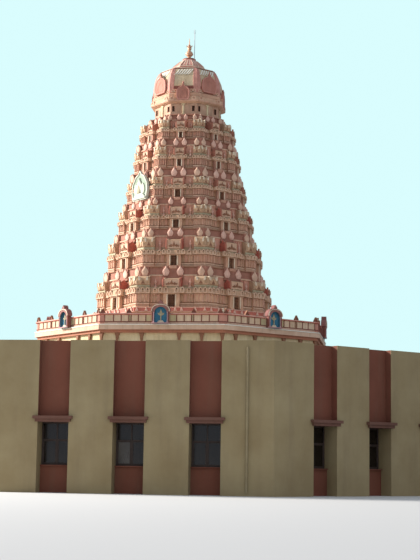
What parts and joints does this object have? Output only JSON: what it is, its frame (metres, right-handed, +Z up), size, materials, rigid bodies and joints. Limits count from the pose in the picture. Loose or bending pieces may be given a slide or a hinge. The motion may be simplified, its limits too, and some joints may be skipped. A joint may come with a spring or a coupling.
{
  "type": "hindu temple",
  "caption": "Hindu temple with an octagonal flat-roofed hall, a low drum with niches, and a tiered octagonal tower that ends in a dome with a finial.",
  "frame": {"origin": "centre of the ground floor's underside, on the tower's axis, at ground level", "axes": "+Z up along the tower's axis, -Y out of the front side, +X to its right"},
  "size_m": [33.6, 33.6, 27.87],
  "materials": {
    "plaster_beige": "painted lime plaster, matte",
    "plaster_cream": "painted plaster, matte",
    "plaster_pink": "painted plaster, matte",
    "plaster_salmon": "painted plaster, matte",
    "concrete": "plain cement screed, matte",
    "window_glass": "dark glazing, clear and smooth",
    "finial_gold": "weathered gilt brass",
    "rod_steel": "galvanised steel"
  },
  "bodies": {
    "root": {"ground_wall_1": "plaster_beige", "ground_wall_2": "plaster_beige", "ground_wall_3": "plaster_beige", "ground_wall_4": "plaster_beige", "ground_wall_5": "plaster_beige", "ground_wall_6": "plaster_beige", "ground_wall_7": "plaster_beige", "ground_wall_8": "plaster_beige", "window_glazing_1": "window_glass", "window_glazing_2": "window_glass", "window_glazing_3": "window_glass", "window_glazing_4": "window_glass", "window_glazing_5": "window_glass", "window_glazing_6": "window_glass", "window_glazing_7": "window_glass", "window_glazing_8": "window_glass", "ground_floor": "concrete", "roof_terrace": "concrete", "drum_support": "plaster_cream", "downpipe": "plaster_cream", "drum_wall": "plaster_cream", "drum_cornice": "plaster_cream", "drum_roof": "concrete", "drum_parapet": "plaster_cream", "niche_1": "plaster_pink", "niche_2": "plaster_pink", "niche_3": "plaster_pink", "niche_4": "plaster_pink", "niche_5": "plaster_pink", "niche_6": "plaster_pink", "niche_7": "plaster_pink", "niche_8": "plaster_pink", "tier_1_wall": "plaster_salmon", "tier_1_cornice": "plaster_pink", "tier_2_wall": "plaster_salmon", "tier_2_cornice": "plaster_pink", "tier_3_wall": "plaster_salmon", "tier_3_cornice": "plaster_pink", "tier_4_wall": "plaster_salmon", "tier_4_cornice": "plaster_pink", "tier_5_wall": "plaster_salmon", "tier_5_cornice": "plaster_pink", "tier_6_wall": "plaster_salmon", "tier_6_cornice": "plaster_pink", "neck": "plaster_salmon", "neck_cornice": "plaster_cream", "dome": "plaster_cream", "lotus_cap": "plaster_pink", "finial": "finial_gold", "lightning_rod": "rod_steel"}
  },
  "joints": []
}
